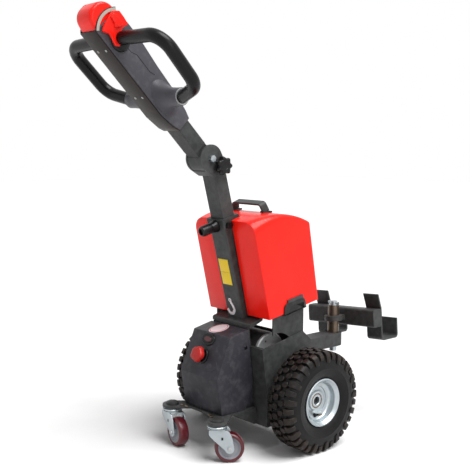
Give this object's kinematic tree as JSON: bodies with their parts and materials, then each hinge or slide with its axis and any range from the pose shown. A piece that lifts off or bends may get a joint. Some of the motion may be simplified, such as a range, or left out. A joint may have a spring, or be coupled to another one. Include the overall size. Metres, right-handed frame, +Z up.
{
  "type": "pedestrian tow tractor",
  "caption": "Walk-behind electric tow tractor: two drive wheels, front casters, red battery case, leaning mast, tiller with loop grips and a swinging hook bar.",
  "frame": {"origin": "on the ground under the middle of the machine's overall length, on its centre line", "axes": "+Z up, +Y from the operator's tiller towards the hitch hooks, +X to the machine's right"},
  "size_m": [0.463, 0.9892, 1.1013],
  "materials": {
    "tyre": "dusty black rubber with block tread",
    "wheel_metal": "zinc plated pressed steel",
    "dark_coat": "dark grey powder coat",
    "cover_plastic": "anthracite moulded plastic",
    "head_plastic": "mid grey moulded plastic",
    "strip_metal": "brown black satin",
    "red_plastic": "glossy red plastic",
    "grip_rubber": "soft black sleeve",
    "black_plastic": "glossy black plastic",
    "tread_maroon": "maroon polyurethane",
    "hub_plastic": "light grey plastic",
    "motor_black": "black paint",
    "bare_metal": "turned aluminium",
    "steel": "bare worn steel"
  },
  "bodies": {
    "chassis": {"drive_axle": "steel", "drive_unit": "motor_black", "drive_motor": "motor_black", "motor_end": "bare_metal", "chassis_frame": "dark_coat", "tongue": "dark_coat", "hitch_post": "steel", "hitch_pin": "wheel_metal", "base_plate": "dark_coat", "king_bolt_right": "wheel_metal", "king_bolt_left": "wheel_metal", "drive_cover": "cover_plastic", "stop_knob": "red_plastic", "foot_plate": "dark_coat", "mast_sleeve": "dark_coat", "mast_collar": "dark_coat", "index_plunger": "black_plastic", "clamp_knob": "black_plastic", "battery_case": "red_plastic", "battery_handle": "dark_coat", "battery_tray": "dark_coat"},
    "wheel_right": {"tyre_right": "tyre", "rim_right": "wheel_metal"},
    "wheel_left": {"tyre_left": "tyre", "rim_left": "wheel_metal"},
    "caster_right": {"caster_fork_right": "wheel_metal"},
    "caster_left": {"caster_fork_left": "wheel_metal"},
    "caster_wheel_right": {"caster_hub_right": "hub_plastic", "caster_tread_right": "tread_maroon"},
    "caster_wheel_left": {"caster_hub_left": "hub_plastic", "caster_tread_left": "tread_maroon"},
    "mast_inner": {"mast_tube": "dark_coat", "knuckle_base": "dark_coat", "knuckle_bolt": "wheel_metal", "star_knob": "black_plastic"},
    "tiller": {"tiller_arm": "dark_coat", "head_housing": "head_plastic", "head_strip": "strip_metal", "head_cap": "red_plastic", "paddle_right": "red_plastic", "paddle_left": "red_plastic", "grip_right": "grip_rubber", "grip_left": "grip_rubber"},
    "tow_bar": {"tow_bar": "dark_coat", "tow_ring": "motor_black", "hook_right": "dark_coat", "hook_left": "dark_coat"}
  },
  "joints": [
    {"name": "wheel_right_spin", "type": "hinge", "parent": "chassis", "child": "wheel_right", "pos_m": [0.189, 0.06659, 0.1325], "axis": [1, 0, 0], "continuous": true},
    {"name": "wheel_left_spin", "type": "hinge", "parent": "chassis", "child": "wheel_left", "pos_m": [-0.189, 0.06659, 0.1325], "axis": [1, 0, 0], "continuous": true},
    {"name": "caster_right_swivel", "type": "hinge", "parent": "chassis", "child": "caster_right", "pos_m": [0.0923, -0.17831, 0.092], "axis": [0, 0, 1], "continuous": true},
    {"name": "caster_wheel_right_spin", "type": "hinge", "parent": "caster_right", "child": "caster_wheel_right", "pos_m": [0.11194, -0.15432, 0.0375], "axis": [-0.7738, 0.6334, 0], "continuous": true},
    {"name": "caster_left_swivel", "type": "hinge", "parent": "chassis", "child": "caster_left", "pos_m": [-0.0923, -0.17831, 0.092], "axis": [0, 0, 1], "continuous": true},
    {"name": "caster_wheel_left_spin", "type": "hinge", "parent": "caster_left", "child": "caster_wheel_left", "pos_m": [-0.0616, -0.18262, 0.0375], "axis": [0.1392, 0.9903, 0], "continuous": true},
    {"name": "mast_height", "type": "slide", "parent": "chassis", "child": "mast_inner", "axis": [0, -0.2588, 0.9659], "range_m": [-0.1, 0.08]},
    {"name": "tiller_tilt", "type": "hinge", "parent": "mast_inner", "child": "tiller", "pos_m": [0, -0.14811, 0.7547], "axis": [1, 0, 0], "range_deg": [-30, 45]},
    {"name": "tow_bar_swing", "type": "hinge", "parent": "chassis", "child": "tow_bar", "pos_m": [0, 0.35159, 0.28], "axis": [0, 0, 1], "range_deg": [-60, 60]}
  ]
}
